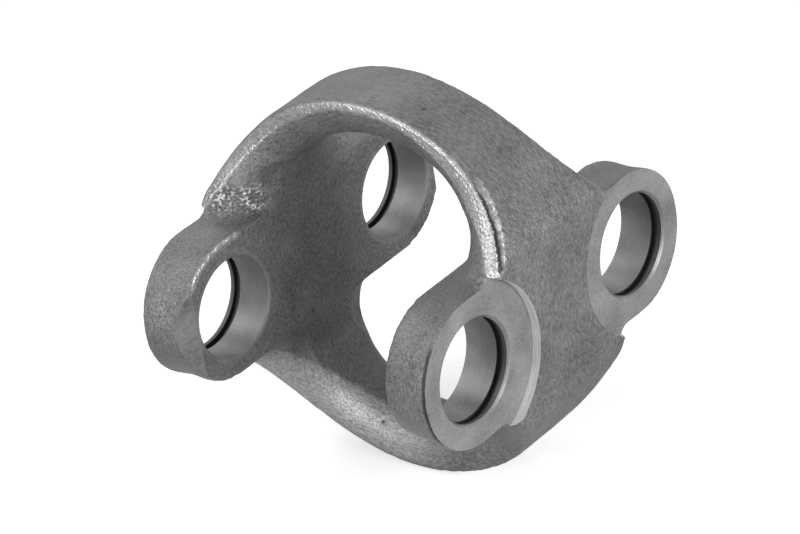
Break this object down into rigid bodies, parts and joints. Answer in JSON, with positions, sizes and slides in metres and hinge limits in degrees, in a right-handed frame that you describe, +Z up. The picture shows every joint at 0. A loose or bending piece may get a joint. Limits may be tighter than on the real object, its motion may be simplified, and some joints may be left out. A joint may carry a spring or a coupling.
{
  "type": "double cardan centre yoke",
  "caption": "Forged steel centre yoke of a double cardan joint: a short hoop round the shaft with two ears at each end, each ear bored and grooved for a bearing cup.",
  "frame": {"origin": "on the shaft axis, midway between the two bore axes", "axes": "+X along the shaft axis, +Y along the bore axes, +Z up through the crown of the hoop"},
  "size_m": [0.1072, 0.0962, 0.1072],
  "materials": {
    "forged_steel": "bare shot-blasted forging with machined ear faces and bores"
  },
  "bodies": {
    "root": {"centre_yoke": "forged_steel"}
  },
  "joints": []
}
